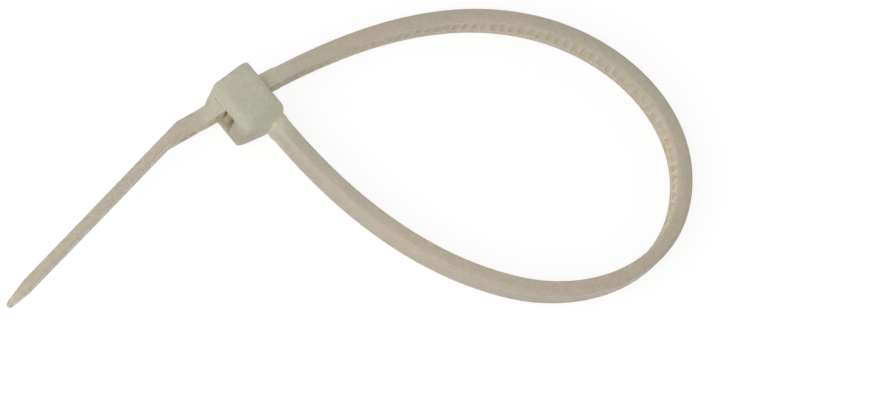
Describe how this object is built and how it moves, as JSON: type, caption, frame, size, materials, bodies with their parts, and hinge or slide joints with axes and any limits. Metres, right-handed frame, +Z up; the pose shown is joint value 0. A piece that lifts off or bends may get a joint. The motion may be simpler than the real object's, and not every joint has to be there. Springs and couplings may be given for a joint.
{
  "type": "cable tie",
  "caption": "Self-locking nylon cable tie closed into a loop: toothed strap, ratchet head with a sprung pawl, and a free tail with a pointed tip.",
  "frame": {"origin": "middle of the bounding box's base, on the surface that the tie lies on", "axes": "+Z up, nearly along the strap's width; +X along the loop from the head to its far end; +Y towards the side of the loop that the strap enters the head from"},
  "size_m": [0.0452, 0.0294, 0.0048],
  "materials": {
    "natural_nylon": "natural off-white moulded nylon, satin, slightly translucent"
  },
  "bodies": {
    "root": {"cable_tie": "natural_nylon"}
  },
  "joints": []
}
